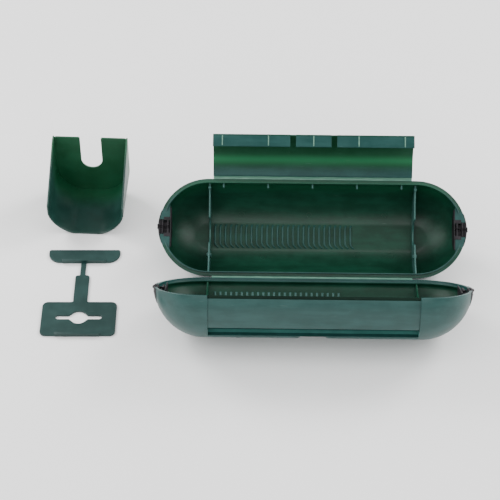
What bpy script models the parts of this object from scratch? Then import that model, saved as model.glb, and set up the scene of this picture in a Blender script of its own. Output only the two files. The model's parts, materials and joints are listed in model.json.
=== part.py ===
"""Weatherproof safety box for a mains plug connection, with its two loose accessories.

World axes: +X along the box, +Y from the front shell to the rear shell, +Z up, with the
origin on the floor under the middle of the whole set. Every size below is in millimetres. The box lies open on a floor as a
V that stands on both round walls. Each shell is drawn in its own frame: x along the box,
t across it from the main hinge outwards, n out of the open mouth. The shell's rim plane
is n = 0 and its middle is t = 0, and an empty on the hinge axis carries the shell.
"""
from math import asin, atan2, cos, degrees, hypot, pi, radians, sin, sqrt

import bmesh
import bpy
from mathutils import Matrix, Vector

MM = 0.001

# shells
SHELL_RADIUS = 61.0
STRAIGHT_HALF = 127.5
FLAT_HALF = 17.0
WALL = 2.4
RIM_INNER = 55.0
RIM_DEPTH = 4.0
RIM_GAP = 0.3
END_STEPS = 12
DEPTH_STEPS = 7

# rim tongue on the rear shell, rebate on the front shell
TONGUE_INNER = 55.4
TONGUE_OUTER = 56.8
TONGUE_HEIGHT = 2.2
REBATE_OUTER = 57.2
REBATE_DEPTH = 2.9

# hinges
HINGE_OFFSET = 1.2
OPEN_ANGLE = 110.0
WEB_RADIUS = 0.6
WEB_HALF = 122.0
FLAP_AXIS_OUT = 1.0
FLAP_AXIS_DROP = 1.0

# closing flap, as arc angles from the rim plane when it is shut
FLAP_HALF = 122.5
FLAP_THICK = 1.8
FLAP_START = 2.4
FLAP_END = 60.0
FLAP_REST_OPEN = 77.0
LIP_LENGTH = 15.5
LIP_FOLD = 106.0
LIP_THICK = 1.8
LIP_GAP_FROM = 21.6
LIP_GAP_TO = 28.5

# flap recess and catch channel in the front shell
RECESS_HALF = 123.5
RECESS_FLOOR = 58.8
PAD_INNER = 56.8
PAD_START = 3.7
PAD_END = 67.0
CHANNEL_CLEAR = 0.9
RIDGE_OUT = 0.9
RIDGE_START = 61.8
RIDGE_END = 68.5
SCOOP_HALF = 18.5

# tip shelves and seals
SHELF_FROM = 175.0
SHELF_THICK = 2.4
SLOT_RADIUS = 9.0
SEAL_RADIUS = 8.6
SEAL_FLANGE_RADIUS = 20.5
SEAL_FLANGE_THICK = 1.5
SEAL_INNER_RADIUS = 25.0
SEAL_INNER_THICK = 1.5
SEAL_NUB = 1.4

# cable bulkheads
BULKHEAD_AT = 127.0
BULKHEAD_THICK = 2.0
BULKHEAD_WALL_DROP = 5.0
BULKHEAD_MID_DROP = 16.0
NOTCH_RADIUS = 15.0
NOTCH_BOTTOM = 46.5

# adjustment racks
RACK_PITCH = 6.54
RACK_BASE = 0.8
RACK_RIB_WIDTH = 1.8
REAR_RACK_RIBS = 27
REAR_RACK_FROM = -121.0
REAR_RACK_HALF_WIDTH = 15.0
REAR_RIB_HEIGHT = 2.2
FRONT_RACK_RIBS = 24
FRONT_RACK_FROM = -118.0
FRONT_RIB_HEIGHT = 1.6
FRONT_RACK_TOP = 13.0
FRONT_RACK_LOW = 36.0

# the two loose pieces lie a little askew to the box
INSERT_TURN = -1.8
HANGER_TURN = 0.9

# plug stop insert
INSERT_AT = (-284.9, 99.7)
INSERT_LENGTH = 86.0
INSERT_HALF = 48.1
INSERT_FLAT_HALF = 15.0
INSERT_HEIGHT = 89.0
INSERT_CURVE_TOP = 34.0
INSERT_FRONT_HEIGHT = 46.0
INSERT_WALL = 2.2
INSERT_NOTCH_HALF = 14.0
INSERT_NOTCH_BOTTOM = 40.0

# hanger bracket
HANGER_AT = (-282.1, -78.6)
HANGER_THICK = 2.4
PLATE_WIDTH = 91.0
PLATE_DEPTH = 56.0
PLATE_CORNER = 7.0
STEM_WIDTH = 17.7
STEM_END = 102.0
NECK_WIDTH = 6.7
BAR_WIDTH = 89.5
BAR_FROM = 125.2
BAR_DEPTH = 22.0
KEYHOLE_RADIUS = 10.3
KEYHOLE_Y = 30.0
KEYSLOT_LENGTH = 56.0
KEYSLOT_WIDTH = 6.0
LIP_BAR_LENGTH = 54.0
LIP_BAR_HEIGHT = 2.0

# worked out from the sizes above
FLAT_DEPTH = sqrt(SHELL_RADIUS**2 - FLAT_HALF**2)
HINGE_OUT = SHELL_RADIUS + HINGE_OFFSET
HALF_OPEN = OPEN_ANGLE / 2
HINGE_HEIGHT = SHELL_RADIUS - HINGE_OUT * sin(radians(90 - HALF_OPEN))
SEAL_FACE = STRAIGHT_HALF + SHELL_RADIUS + 0.8
INSERT_SIDE = INSERT_HALF * cos(radians(INSERT_TURN))
INSERT_REACH = INSERT_LENGTH * cos(radians(INSERT_TURN)) - INSERT_HALF * sin(radians(INSERT_TURN))
SET_LOW = (INSERT_AT[0] - INSERT_SIDE, -HINGE_OUT * cos(radians(90 - HALF_OPEN)) - SHELL_RADIUS)
SET_HIGH = (SEAL_FACE + SEAL_NUB, INSERT_AT[1] + INSERT_REACH)
SET_MIDDLE = ((SET_LOW[0] + SET_HIGH[0]) / 2, (SET_LOW[1] + SET_HIGH[1]) / 2)


def clear_scene():
    """Start from an empty file."""
    for old in list(bpy.data.objects):
        bpy.data.objects.remove(old, do_unlink=True)


def make_material(name, colour, roughness):
    """A plain plastic or rubber."""
    material = bpy.data.materials.new(name)
    material.use_nodes = True
    shader = material.node_tree.nodes["Principled BSDF"]
    shader.inputs["Base Color"].default_value = (*colour, 1.0)
    shader.inputs["Roughness"].default_value = roughness
    shader.inputs["Metallic"].default_value = 0.0
    return material


def make_frame(name, location, turn_x, turn_z=0.0):
    """An empty that carries pieces, placed from the box's middle, its turns in degrees."""
    empty = bpy.data.objects.new(name, None)
    bpy.context.collection.objects.link(empty)
    turn = Matrix.Rotation(radians(turn_z), 4, "Z") @ Matrix.Rotation(radians(turn_x), 4, "X")
    place = Vector(location) - Vector((*SET_MIDDLE, 0.0))
    empty.matrix_world = Matrix.Translation(place * MM) @ turn
    return empty


def make_object(name, mesh_data, frame, material=None):
    """Turn a bmesh in millimetres into an object carried by a frame."""
    bmesh.ops.recalc_face_normals(mesh_data, faces=mesh_data.faces)
    bmesh.ops.scale(mesh_data, vec=(MM, MM, MM), verts=mesh_data.verts)
    mesh = bpy.data.meshes.new(name)
    mesh_data.to_mesh(mesh)
    mesh_data.free()
    obj = bpy.data.objects.new(name, mesh)
    bpy.context.collection.objects.link(obj)
    obj.parent = frame
    if material is not None:
        mesh.materials.append(material)
    return obj


def make_cutter(name, mesh_data, frame):
    """A guide solid that only shapes another piece."""
    obj = make_object(name, mesh_data, frame)
    obj.hide_render = True
    obj.display_type = "WIRE"
    return obj


def combine(obj, other, operation):
    """Keep an exact Boolean on a piece."""
    modifier = obj.modifiers.new(other.name, "BOOLEAN")
    modifier.operation = operation
    modifier.object = other


def skin_loops(loops):
    """Close a stack of equal loops into one solid, capped at both ends."""
    bm = bmesh.new()
    rings = [[bm.verts.new(point) for point in loop] for loop in loops]
    for low, high in zip(rings, rings[1:]):
        for i in range(len(low)):
            j = (i + 1) % len(low)
            bm.faces.new((low[i], low[j], high[j], high[i]))
    bm.faces.new(list(reversed(rings[0])))
    bm.faces.new(rings[-1])
    return bm


def extrude_outline(outline, low, high, axis):
    """A prism with an outline in the other two axes, from low to high along one axis."""
    def place(point, level):
        if axis == "x":
            return (level, point[0], point[1])
        if axis == "y":
            return (point[0], level, point[1])
        return (point[0], point[1], level)
    return skin_loops([[place(p, level) for p in outline] for level in (low, high)])


def arc(centre, radius, start, end, steps):
    """Points on an arc, its angles in degrees."""
    angles = [radians(start + (end - start) * i / steps) for i in range(steps + 1)]
    return [(centre[0] + radius * cos(a), centre[1] + radius * sin(a)) for a in angles]


def stadium_loop(radius, level):
    """The shell's plan outline at one level: two half circles joined by straight sides."""
    right = arc((STRAIGHT_HALF, 0), radius, -90, 90, END_STEPS)
    left = arc((-STRAIGHT_HALF, 0), radius, 90, 270, END_STEPS)
    return [(x, t + HINGE_OUT, level) for x, t in right + left]


def shell_profile(rim):
    """Radius and level pairs from the outside bottom, over the rim, to the inside bottom."""
    outer_flat = asin(FLAT_DEPTH / SHELL_RADIUS)
    angles = [outer_flat * (1 - i / DEPTH_STEPS) for i in range(DEPTH_STEPS)]
    outside = [(SHELL_RADIUS * cos(a), -SHELL_RADIUS * sin(a)) for a in angles]
    inner = SHELL_RADIUS - WALL
    inner_flat = asin((FLAT_DEPTH - WALL) / inner)
    start = asin((RIM_DEPTH + 2.5) / inner)
    steps = [start + (inner_flat - start) * i / DEPTH_STEPS for i in range(DEPTH_STEPS + 1)]
    inside = [(inner * cos(a), -inner * sin(a)) for a in steps]
    return outside + rim + inside


def tongue_rim():
    """The rear shell's rim, with a raised tongue near its inner edge."""
    return [(SHELL_RADIUS, -RIM_GAP), (TONGUE_OUTER, -RIM_GAP), (TONGUE_OUTER, TONGUE_HEIGHT),
            (TONGUE_INNER, TONGUE_HEIGHT), (TONGUE_INNER, -RIM_DEPTH)]


def rebate_rim():
    """The front shell's rim, with a rebate that the tongue drops into."""
    floor = -RIM_GAP - REBATE_DEPTH
    return [(SHELL_RADIUS, -RIM_GAP), (REBATE_OUTER, -RIM_GAP), (REBATE_OUTER, floor),
            (RIM_INNER, floor), (RIM_INNER, floor - 1.2)]


def shell_body(name, rim, shelf_top, frame, material):
    """The half capsule with its rim, and shelves at both tips."""
    loops = [stadium_loop(radius, level) for radius, level in shell_profile(rim)]
    shell = make_object(name, skin_loops(loops), frame, material)
    for side in (-1, 1):
        combine(shell, tip_shelf(name, frame, side, shelf_top), "UNION")
    return shell


def tip_shelf(name, frame, side, top):
    """The flat web that fills a tip, its curved edge inside the shell's wall."""
    reach = RIM_INNER + 1.1
    run = SHELF_FROM - STRAIGHT_HALF
    half = degrees(atan2(sqrt(reach**2 - run**2), run))
    edge = arc((STRAIGHT_HALF, 0), reach, -half, half, 8)
    outline = [(side * x, t + HINGE_OUT) for x, t in edge]
    solid = extrude_outline(outline, top - SHELF_THICK, top, "z")
    return make_cutter(f"{name}_shelf_{side}", solid, frame)


def cut_tip_slots(shell, frame):
    """Round slots through both tips, where the seals sit."""
    circle = arc((HINGE_OUT, -RIM_GAP), SLOT_RADIUS, 0, 345, 23)
    for side in (-1, 1):
        low, high = sorted((side * (SHELF_FROM - 8), side * (STRAIGHT_HALF + SHELL_RADIUS + 8)))
        cutter = make_cutter(f"{shell.name}_slot_{side}", extrude_outline(circle, low, high, "x"), frame)
        combine(shell, cutter, "DIFFERENCE")


def sector_outline(inner, outer, start, end, steps, centre=(0.0, 0.0)):
    """An annular sector below the rim on the far side, angles in degrees down from the rim."""
    near = arc(centre, inner, -start, -end, steps)
    far = arc(centre, outer, -end, -start, steps)
    return [(t + HINGE_OUT, n) for t, n in near + far]


def make_rear_shell(frame, material):
    """The rear shell: rim tongue all round, cut at the seals."""
    shell = shell_body("rear_shell", tongue_rim(), -RIM_GAP - 0.2, frame, material)
    cut_tip_slots(shell, frame)
    return shell


def flap_axis():
    """The flap's hinge axis in the rear shell's frame, with t from the shell's middle."""
    return SHELL_RADIUS + FLAP_AXIS_OUT, -FLAP_AXIS_DROP


def flap_arc_point(radius, angle):
    """A point of the shut flap, seen from its own hinge axis."""
    axis_t, axis_n = flap_axis()
    a = radians(angle)
    return radius * cos(a) - axis_t, radius * sin(a) - axis_n


def flap_section():
    """The shut flap's section about its hinge: a curved panel with a folded lip."""
    outer = SHELL_RADIUS
    inner = outer - FLAP_THICK
    spread = FLAP_END - FLAP_START
    angles = [FLAP_START + spread * i / 10 for i in range(11)]
    outside = [flap_arc_point(outer, a) for a in angles]
    inside = [flap_arc_point(inner, a) for a in reversed(angles)]
    tip_t, tip_n = outside[-1]
    lip_way = radians(FLAP_END + 90 + LIP_FOLD)
    way = (cos(lip_way), sin(lip_way))
    across = (cos(lip_way + pi / 2), sin(lip_way + pi / 2))
    end = (tip_t + LIP_LENGTH * way[0], tip_n + LIP_LENGTH * way[1])
    back = (end[0] + LIP_THICK * across[0], end[1] + LIP_THICK * across[1])
    run = 2.2
    root = (back[0] - (LIP_LENGTH - run) * way[0], back[1] - (LIP_LENGTH - run) * way[1])
    return outside + [end, back, root] + inside[1:]


def make_flap(frame, material):
    """The latch flap, drawn shut in its own frame, with two gaps in its lip."""
    flap = make_object("closing_flap", extrude_outline(flap_section(), -FLAP_HALF, FLAP_HALF, "x"),
                       frame, material)
    inside = [flap_arc_point(SHELL_RADIUS - FLAP_THICK - 0.2, a) for a in (44, 52, 56.5, FLAP_END)]
    way = radians(FLAP_END + 180)
    tip = inside[-1]
    reach = LIP_LENGTH + 4
    far = [(tip[0] + reach * cos(way), tip[1] + reach * sin(way)),
           (inside[0][0] + reach * cos(way), inside[0][1] + reach * sin(way))]
    for side in (-1, 1):
        low, high = sorted((side * LIP_GAP_FROM, side * LIP_GAP_TO))
        gap = make_cutter(f"flap_gap_{side}", extrude_outline(inside + far, low, high, "x"), frame)
        combine(flap, gap, "DIFFERENCE")
    return flap


def lip_reach():
    """Least and greatest distance of the lip from the flap's hinge axis."""
    points = flap_section()[10:14]
    distances = [hypot(*point) for point in points]
    return min(distances), max(distances)


def channel_section(grow, floor_grow):
    """The catch channel's section in the front shell: an arc path about the flap's hinge."""
    least, most = lip_reach()
    axis_t, axis_n = flap_axis()
    centre = (axis_t + HINGE_OUT, -axis_n)
    points = flap_section()[10:14]
    deepest = max(degrees(atan2(-point[0], point[1])) for point in points)
    shallow = min(degrees(atan2(-point[0], point[1])) for point in points)
    start = -90 - shallow + 14
    end = -90 - deepest - 3 - floor_grow
    inner = arc(centre, least - CHANNEL_CLEAR - grow, start, end, 6)
    outer = arc(centre, most + CHANNEL_CLEAR + grow, end, start, 6)
    return inner + outer


def along_box(name, outline, half, frame):
    """A guide prism along the box, centred on it."""
    return make_cutter(name, extrude_outline(outline, -half, half, "x"), frame)


def make_front_shell(frame, material):
    """The front shell: rim rebate, recessed panel for the flap, and the catch channel."""
    shell = shell_body("front_shell", rebate_rim(), -RIM_GAP - REBATE_DEPTH - 0.3, frame, material)
    pad = sector_outline(PAD_INNER, SHELL_RADIUS - 0.9, PAD_START, PAD_END, 12)
    combine(shell, along_box("front_pad", pad, RECESS_HALF + 2, frame), "UNION")
    pocket = along_box("front_pocket", channel_section(1.8, 3), RECESS_HALF + 2, frame)
    inside = arc((HINGE_OUT, 0), SHELL_RADIUS - 1.1, 3, 363, 40)[:-1]
    combine(pocket, along_box("front_inside", inside, RECESS_HALF + 6, frame), "INTERSECT")
    combine(shell, pocket, "UNION")
    recess = sector_outline(RECESS_FLOOR, SHELL_RADIUS + 9, -4, FLAP_END + 1.2, 14)
    combine(shell, along_box("front_recess", recess, RECESS_HALF, frame), "DIFFERENCE")
    channel = along_box("front_channel", channel_section(0.0, 0), RECESS_HALF - 0.1, frame)
    combine(shell, channel, "DIFFERENCE")
    ridge = sector_outline(SHELL_RADIUS - 1.2, SHELL_RADIUS + RIDGE_OUT, RIDGE_START, RIDGE_END, 3)
    for side in (-1, 1):
        low, high = sorted((side * SCOOP_HALF, side * (RECESS_HALF - 0.2)))
        bar = make_cutter(f"front_ridge_{side}", extrude_outline(ridge, low, high, "x"), frame)
        combine(shell, bar, "UNION")
    cut_tip_slots(shell, frame)
    return shell


def make_web(name, frame, material):
    """A living hinge, drawn as a slim rod on its own axis."""
    ring = arc((0, 0), WEB_RADIUS, 0, 315, 7)
    return make_object(name, extrude_outline(ring, -WEB_HALF, WEB_HALF, "x"), frame, material)


def half_disc(radius, steps):
    """A half disc below the rim plane, closed along its top."""
    rim = arc((HINGE_OUT, -RIM_GAP), radius, 180, 360, steps)
    return rim


def flange_solid(side):
    """The seal's outer flange, curved to lie on the domed tip."""
    rows = 5
    inner = SHELL_RADIUS + 0.3
    outer = inner + SEAL_FLANGE_THICK
    loops = []
    for row in range(rows + 1):
        drop = SEAL_FLANGE_RADIUS * row / rows
        level = -RIM_GAP - drop
        half = sqrt(max(SEAL_FLANGE_RADIUS**2 - drop**2, 16.0))
        across = [half * (i / 4 - 1) for i in range(9)]
        pairs = [(inner, t) for t in across] + [(outer, t) for t in reversed(across)]
        loops.append([(side * (STRAIGHT_HALF + sqrt(ball**2 - t**2 - level**2)), t + HINGE_OUT, level)
                      for ball, t in pairs])
    return skin_loops(loops)


def make_seal(name, frame, side, material):
    """One split rubber cable seal: block, curved outer flange, flat inner flange and nub."""
    start = SHELF_FROM - SEAL_INNER_THICK - 0.3
    low, high = sorted((side * (start + 0.5), side * SEAL_FACE))
    seal = make_object(name, extrude_outline(half_disc(SEAL_RADIUS, 12), low, high, "x"), frame, material)
    flange = make_cutter(f"{name}_flange", flange_solid(side), frame)
    combine(seal, flange, "UNION")
    low, high = sorted((side * start, side * (start + SEAL_INNER_THICK)))
    inner = extrude_outline(half_disc(SEAL_INNER_RADIUS, 14), low, high, "x")
    combine(seal, make_cutter(f"{name}_inner", inner, frame), "UNION")
    low, high = sorted((side * (SEAL_FACE - 2), side * (SEAL_FACE + SEAL_NUB)))
    nub = extrude_outline(half_disc(3.2, 8), low, high, "x")
    combine(seal, make_cutter(f"{name}_nub", nub, frame), "UNION")
    return seal


def bulkhead_outline(inner_radius):
    """A plate that follows the shell's inside, with a vee top edge and a central U notch."""
    reach = inner_radius - 0.4
    floor = -(FLAT_DEPTH - WALL) + 0.4
    wall_angle = degrees(asin(BULKHEAD_WALL_DROP / reach))
    floor_angle = degrees(asin(-floor / reach))
    right = arc((0, 0), reach, -floor_angle, -wall_angle - 3, 8)
    left = arc((0, 0), reach, -180 + wall_angle + 3, -180 + floor_angle, 8)
    centre = -NOTCH_BOTTOM + NOTCH_RADIUS
    notch = arc((0, centre), NOTCH_RADIUS, 0, -180, 10)
    shoulder = -BULKHEAD_MID_DROP
    top = [(NOTCH_RADIUS + 8, shoulder), (NOTCH_RADIUS, shoulder)] + notch
    top += [(-NOTCH_RADIUS, shoulder), (-NOTCH_RADIUS - 8, shoulder)]
    return [(t + HINGE_OUT, n) for t, n in right + top + left]


def make_bulkhead(name, frame, at, inner_radius, material):
    """A thin cable bulkhead across a shell."""
    low, high = at - BULKHEAD_THICK / 2, at + BULKHEAD_THICK / 2
    return make_object(name, extrude_outline(bulkhead_outline(inner_radius), low, high, "x"), frame, material)


def rack_outline(count, start, rib_height, side):
    """A strip with square ribs, as along-the-box and height pairs."""
    points = [(start - 3.0, 0.0), (start - 3.0, RACK_BASE)]
    for i in range(count):
        middle = start + i * RACK_PITCH
        low, high = middle - RACK_RIB_WIDTH / 2, middle + RACK_RIB_WIDTH / 2
        points += [(low, RACK_BASE), (low, rib_height), (high, rib_height), (high, RACK_BASE)]
    end = start + (count - 1) * RACK_PITCH + 3.0
    points += [(end, RACK_BASE), (end, 0.0)]
    return [(side * x, height) for x, height in points]


def make_rear_rack(frame, material):
    """The adjustment rack on the rear shell's flat bottom, its ribs sloping down at both ends."""
    floor = -(FLAT_DEPTH - WALL) + RIM_GAP
    half = REAR_RACK_HALF_WIDTH
    stations = ((-half, RACK_BASE + 0.3), (-half + 4, REAR_RIB_HEIGHT), (half - 4, REAR_RIB_HEIGHT),
                (half, RACK_BASE + 0.3))
    loops = []
    for t, height in stations:
        outline = rack_outline(REAR_RACK_RIBS, REAR_RACK_FROM, height, 1)
        loops.append([(x, t + HINGE_OUT, floor + h) for x, h in outline])
    return make_object("rear_rack", skin_loops(loops), frame, material)


def make_front_rack(frame, material):
    """The matching rack, on the wall of the front shell next to the main hinge."""
    reach = SHELL_RADIUS - WALL - 0.35
    loops = []
    for i in range(5):
        a = radians(180 + FRONT_RACK_TOP + (FRONT_RACK_LOW - FRONT_RACK_TOP) * i / 4)
        outline = rack_outline(FRONT_RACK_RIBS, FRONT_RACK_FROM, FRONT_RIB_HEIGHT, -1)
        loops.append([(x, (reach - h) * cos(a) + HINGE_OUT, (reach - h) * sin(a)) for x, h in outline])
    return make_object("front_rack", skin_loops(loops), frame, material)


def insert_outline(shrink, top):
    """The insert's section: flat bottom, curved sides that end upright."""
    half = INSERT_HALF - shrink
    flat = INSERT_FLAT_HALF
    side = half - flat
    rise = INSERT_CURVE_TOP - shrink
    curve = [(flat + side * sin(a), shrink + rise * (1 - cos(a))) for a in
             [radians(90 * i / 8) for i in range(9)]]
    mirrored = [(-x, z) for x, z in reversed(curve)]
    return curve + [(half, top), (-half, top)] + mirrored


def make_insert(frame, material):
    """The scoop-shaped plug stop: an open trough with a notched end wall."""
    outer = extrude_outline(insert_outline(0, INSERT_HEIGHT), 0, INSERT_LENGTH, "y")
    insert = make_object("plug_stop_insert", outer, frame, material)
    hollow = extrude_outline(insert_outline(INSERT_WALL, INSERT_HEIGHT + 9), -9,
                             INSERT_LENGTH - INSERT_WALL, "y")
    combine(insert, make_cutter("insert_hollow", hollow, frame), "DIFFERENCE")
    slope = [(-9, INSERT_FRONT_HEIGHT - 5), (INSERT_LENGTH - 6, INSERT_HEIGHT + 0.5),
             (INSERT_LENGTH - 6, INSERT_HEIGHT + 20), (-9, INSERT_HEIGHT + 20)]
    wedge = extrude_outline(slope, -INSERT_HALF - 9, INSERT_HALF + 9, "x")
    combine(insert, make_cutter("insert_slope", wedge, frame), "DIFFERENCE")
    centre = INSERT_NOTCH_BOTTOM + INSERT_NOTCH_HALF
    notch = arc((0, centre), INSERT_NOTCH_HALF, 180, 360, 10)
    notch += [(INSERT_NOTCH_HALF, INSERT_HEIGHT + 9), (-INSERT_NOTCH_HALF, INSERT_HEIGHT + 9)]
    cut = extrude_outline(notch, INSERT_LENGTH - 9, INSERT_LENGTH + 9, "y")
    combine(insert, make_cutter("insert_notch", cut, frame), "DIFFERENCE")
    return insert


def hanger_outline():
    """The hanger's plan: plate, stem, neck and top bar, its right side then its left."""
    half, corner = PLATE_WIDTH / 2, PLATE_CORNER
    right = arc((half - corner, corner), corner, -90, 0, 4)
    right += arc((half - corner, PLATE_DEPTH - corner), corner, 0, 90, 4)
    right += [(STEM_WIDTH / 2, PLATE_DEPTH), (STEM_WIDTH / 2, STEM_END - 3)]
    right += [(STEM_WIDTH / 2 - 3, STEM_END), (NECK_WIDTH / 2, STEM_END), (NECK_WIDTH / 2, BAR_FROM)]
    big = BAR_DEPTH - 7
    bar = BAR_WIDTH / 2
    right += arc((bar - big, BAR_FROM + big), big, -90, 0, 5)
    right += arc((bar - 3, BAR_FROM + BAR_DEPTH - 3), 3, 0, 90, 2)
    return right + [(-x, y) for x, y in reversed(right)]


def box_solid(x_low, x_high, y_low, y_high, z_low, z_high):
    """A plain block."""
    outline = [(x_low, y_low), (x_high, y_low), (x_high, y_high), (x_low, y_high)]
    return extrude_outline(outline, z_low, z_high, "z")


def make_hanger(frame, material):
    """The hanger bracket: flat plate with a keyhole, and a raised lip on each near edge."""
    hanger = make_object("hanger_bracket", extrude_outline(hanger_outline(), 0, HANGER_THICK, "z"),
                         frame, material)
    hole = extrude_outline(arc((0, KEYHOLE_Y), KEYHOLE_RADIUS, 0, 345, 23), -5, HANGER_THICK + 5, "z")
    combine(hanger, make_cutter("hanger_hole", hole, frame), "DIFFERENCE")
    reach, half = KEYSLOT_LENGTH / 2, KEYSLOT_WIDTH / 2
    ends = arc((reach - half, KEYHOLE_Y), half, -90, 90, 6)
    ends += arc((half - reach, KEYHOLE_Y), half, 90, 270, 6)
    combine(hanger, make_cutter("hanger_slot", extrude_outline(ends, -5, HANGER_THICK + 5, "z"), frame),
            "DIFFERENCE")
    for label, near in (("plate", 0.4), ("bar", BAR_FROM + 0.4)):
        lip = box_solid(-LIP_BAR_LENGTH / 2, LIP_BAR_LENGTH / 2, near, near + 2.6,
                        HANGER_THICK - 1, HANGER_THICK + LIP_BAR_HEIGHT)
        combine(hanger, make_cutter(f"hanger_lip_{label}", lip, frame), "UNION")
    return hanger


def build():
    """Place every frame and make every piece."""
    clear_scene()
    outer_green = make_material("moulded_green", (0.03, 0.09, 0.075), 0.45)
    web_green = make_material("hinge_green", (0.25, 0.45, 0.33), 0.5)
    rubber = make_material("seal_rubber", (0.012, 0.01, 0.013), 0.7)

    tilt = 90 - HALF_OPEN
    hinge = (0.0, 0.0, HINGE_HEIGHT)
    rear = make_frame("rear_frame", hinge, tilt)
    front = make_frame("front_frame", hinge, tilt, 180)
    axis_t, axis_n = flap_axis()
    across = axis_t + HINGE_OUT
    lean = radians(tilt)
    flap_place = (0.0, across * cos(lean) - axis_n * sin(lean),
                  HINGE_HEIGHT + across * sin(lean) + axis_n * cos(lean))
    flap_frame = make_frame("flap_frame", flap_place, tilt - FLAP_REST_OPEN)
    insert_frame = make_frame("insert_frame", (*INSERT_AT, 0.0), 0, INSERT_TURN)
    hanger_frame = make_frame("hanger_frame", (*HANGER_AT, 0.0), 0, HANGER_TURN)

    make_rear_shell(rear, outer_green)
    make_front_shell(front, outer_green)
    make_flap(flap_frame, outer_green)
    make_web("main_hinge_web", rear, web_green)
    make_web("flap_hinge_web", flap_frame, web_green)
    make_rear_rack(rear, outer_green)
    make_front_rack(front, outer_green)
    for label, frame, flip in (("rear", rear, 1), ("front", front, -1)):
        for word, side in (("left", -1), ("right", 1)):
            make_seal(f"{label}_{word}_seal", frame, side * flip, rubber)
            make_bulkhead(f"{label}_{word}_bulkhead", frame, side * flip * BULKHEAD_AT,
                          SHELL_RADIUS - WALL, outer_green)
    make_insert(insert_frame, outer_green)
    make_hanger(hanger_frame, outer_green)


build()
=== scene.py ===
import json
import bmesh
import bpy
import numpy as np
from math import atan2, cos, degrees, hypot, pi, radians, sin, sqrt, tan
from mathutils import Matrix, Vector
from mathutils.geometry import delaunay_2d_cdt


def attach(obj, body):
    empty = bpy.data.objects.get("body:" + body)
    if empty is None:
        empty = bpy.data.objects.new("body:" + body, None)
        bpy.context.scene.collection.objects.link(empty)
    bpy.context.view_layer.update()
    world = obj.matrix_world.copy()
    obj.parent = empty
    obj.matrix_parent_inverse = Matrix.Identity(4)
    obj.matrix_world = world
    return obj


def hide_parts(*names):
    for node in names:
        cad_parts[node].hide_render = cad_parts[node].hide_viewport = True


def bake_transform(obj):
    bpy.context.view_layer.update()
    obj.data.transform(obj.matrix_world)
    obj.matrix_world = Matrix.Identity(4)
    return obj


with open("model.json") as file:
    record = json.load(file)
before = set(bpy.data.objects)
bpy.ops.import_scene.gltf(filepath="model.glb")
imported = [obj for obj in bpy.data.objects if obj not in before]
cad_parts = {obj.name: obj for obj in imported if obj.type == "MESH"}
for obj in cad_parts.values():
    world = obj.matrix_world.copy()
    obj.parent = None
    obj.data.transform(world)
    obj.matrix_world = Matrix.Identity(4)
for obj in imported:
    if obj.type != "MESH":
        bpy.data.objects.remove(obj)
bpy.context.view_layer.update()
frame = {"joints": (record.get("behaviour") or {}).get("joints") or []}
joints = {joint["name"]: joint for joint in frame["joints"]}
mm = 0.001

# Shell frame, in millimetres: x along the box, t across it from the shell's middle towards the
# outer edge, n out of the mouth. Both shells lean back by the same angle from the main hinge.
place = {
    "hinge": np.array(joints["main_hinge"]["pos_m"]) / mm,
    "flapAxis": np.array(joints["flap_hinge"]["pos_m"]) / mm,
    "lean": 90 - joints["main_hinge"]["range_deg"][1] / 2,
    "flapOpen": joints["flap_hinge"]["range_deg"][1],
    "hingeOut": 62.2,  # main hinge from a shell's middle
    "flapAxisOut": 62.0,  # flap hinge from a shell's middle, and above its rim
    "flapAxisDrop": 1.0,
}


# World points: across and up are turned by the angle about an axis along x through centre
def tilted(x, across, up, centre, angle, mirror=1):
    c, s = cos(radians(angle)), sin(radians(angle))
    x, across, up = np.broadcast_arrays(x, across, up)
    return np.stack([centre[0] + x, centre[1] + mirror * (across * c - up * s),
                     centre[2] + across * s + up * c], axis=-1)


def rearPlace(x, t, n):
    return tilted(x, np.asarray(t) + place["hingeOut"], n, place["hinge"], place["lean"])


def frontPlace(x, t, n):
    return tilted(x, np.asarray(t) + place["hingeOut"], n, place["hinge"], place["lean"], -1)


# The flap is drawn shut, about its own axis, then turned open
def flapPlace(x, across, up):
    return tilted(x, across, up, place["flapAxis"], place["lean"] - place["flapOpen"])


# A loose piece lies on the floor at a spot measured from the main hinge, turned a little
def loosePlace(x, y, z, spot, turn):
    c, s = cos(radians(turn)), sin(radians(turn))
    x, y, z = np.broadcast_arrays(x, y, z)
    return np.stack([place["hinge"][0] + spot[0] + x * c - y * s,
                     place["hinge"][1] + spot[1] + x * s + y * c, z + 0.0 * x], axis=-1)


# Joins (points, faces) parts in millimetres into one mesh object, merging doubled points and turning faces
# outward
def toObject(name, parts, sharp=34, inner=None):
    points, faces, base = [], [], 0
    for vertices, polygons in parts:
        points.append(np.asarray(vertices, float).reshape(-1, 3))
        faces += [tuple(int(i) + base for i in polygon) for polygon in polygons]
        base += len(points[-1])
    mesh = bpy.data.meshes.new(name)
    mesh.from_pydata((np.concatenate(points) * mm).tolist(), [], faces)
    if inner is not None:
        layer = mesh.attributes.new("inner", "FLOAT", "POINT")
        layer.data.foreach_set("value", np.ravel(inner).astype(np.float32))
    tidy = bmesh.new()
    tidy.from_mesh(mesh)
    bmesh.ops.remove_doubles(tidy, verts=tidy.verts, dist=2e-6)
    bmesh.ops.dissolve_degenerate(tidy, edges=tidy.edges, dist=1e-6)
    bmesh.ops.recalc_face_normals(tidy, faces=tidy.faces)
    tidy.to_mesh(mesh)
    tidy.free()
    mesh.shade_smooth()
    mesh.set_sharp_from_angle(angle=radians(sharp))
    thing = bpy.data.objects.new(name, mesh)
    bpy.context.scene.collection.objects.link(thing)
    return thing


# Quads of a grid of rows by columns; the columns join round when wrap is true
def gridFaces(rows, columns, wrap):
    row = np.arange(rows - 1)[:, None]
    column = np.arange(columns if wrap else columns - 1)[None, :]
    following = (column + 1) % columns
    quads = np.stack([row * columns + column, row * columns + following,
                      (row + 1) * columns + following, (row + 1) * columns + column], axis=-1)
    return quads.reshape(-1, 4).tolist()


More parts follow.
